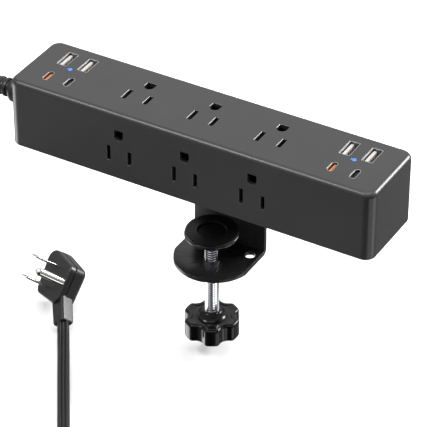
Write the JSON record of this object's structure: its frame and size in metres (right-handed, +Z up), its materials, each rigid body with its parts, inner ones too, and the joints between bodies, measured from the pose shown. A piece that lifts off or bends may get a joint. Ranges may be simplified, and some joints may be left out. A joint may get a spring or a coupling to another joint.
{
  "type": "desk power strip",
  "caption": "Clamp-on desk power strip: a long box with mains outlets on its faces, charging ports on top, a screw clamp below and a mains lead with a flat plug.",
  "frame": {"origin": "centre of the rubber face that sits on the desk top, under the middle of the housing", "axes": "+X along the strip, +Y to the rear, where the clamp's upright stands against the desk's edge, +Z up, away from the desk top"},
  "size_m": [0.2923, 0.1915, 0.156],
  "materials": {
    "housing_plastic": "fine satin texture",
    "base_plastic": "fine matt texture",
    "zinc_steel": "bright zinc",
    "carrier_plastic": "moulded",
    "white_plastic": "moulded",
    "contact_brass": "rolled strip",
    "black_wire": "smooth sleeve",
    "white_wire": "smooth sleeve",
    "green_wire": "smooth sleeve",
    "circuit_board": "solder mask",
    "blue_ceramic": "dipped coating",
    "yellow_tape": "wound tape",
    "capacitor_sleeve": "shrunk sleeve",
    "port_steel": "bright nickel",
    "port_white": "moulded",
    "port_orange": "moulded",
    "port_black": "moulded",
    "blue_lens": "lit lens",
    "black_steel": "satin powder coat",
    "pad_rubber": "matt",
    "threaded_steel": "bright plated",
    "knob_plastic": "satin moulded",
    "pad_plastic": "satin moulded",
    "gland_plastic": "moulded",
    "cord_jacket": "soft satin",
    "tie_strap": "hook and loop strap",
    "plug_plastic": "moulded",
    "plated_blades": "nickel plated"
  },
  "bodies": {
    "strip": {"cover": "housing_plastic", "base_plate": "base_plastic", "case_screws": "zinc_steel", "top_carrier": "carrier_plastic", "front_carrier": "carrier_plastic", "rear_carrier": "carrier_plastic", "top_line_bus": "contact_brass", "top_neutral_bus": "contact_brass", "top_earth_bus": "contact_brass", "front_line_bus": "contact_brass", "front_neutral_bus": "contact_brass", "front_earth_bus": "contact_brass", "rear_line_bus": "contact_brass", "rear_neutral_bus": "contact_brass", "rear_earth_bus": "contact_brass", "terminal_block": "white_plastic", "line_wire": "black_wire", "neutral_wire": "white_wire", "earth_wire": "green_wire", "surge_board": "circuit_board", "surge_discs": "blue_ceramic", "thermal_fuse": "white_plastic", "usb_boards": "circuit_board", "charger_transformers": "yellow_tape", "charger_capacitors": "capacitor_sleeve", "usb_a_shells": "port_steel", "usb_a_tongues": "port_white", "usb_c_shells": "port_steel", "fast_port_tongues": "port_orange", "plain_port_tongues": "port_black", "indicator_lenses": "blue_lens", "bracket": "black_steel", "bracket_liner": "pad_rubber", "bracket_screws": "zinc_steel", "cord_gland": "gland_plastic", "strain_relief": "gland_plastic", "cord_feed": "cord_jacket", "cord_coil": "cord_jacket", "cord_tie": "tie_strap", "cord_tail": "cord_jacket", "plug_body": "plug_plastic", "plug_blades": "plated_blades", "plug_earth_pin": "plated_blades"},
    "pad": {"pressure_pad": "pad_plastic", "pad_facing": "pad_rubber"},
    "screw": {"threaded_rod": "threaded_steel", "knob": "knob_plastic", "pad_retainer": "zinc_steel"}
  },
  "joints": [
    {"name": "pad_slide", "type": "slide", "parent": "strip", "child": "pad", "axis": [0, 0, 1], "range_m": [-0.01, 0.032]},
    {"name": "screw_spin", "type": "hinge", "parent": "pad", "child": "screw", "pos_m": [0, 0.0048, -0.06], "axis": [0, 0, 1], "range_deg": [-2410, 7690]}
  ],
  "couplings": [
    {"joint": "screw_spin", "follows": "pad_slide", "rad_per_m": 4188.8}
  ]
}
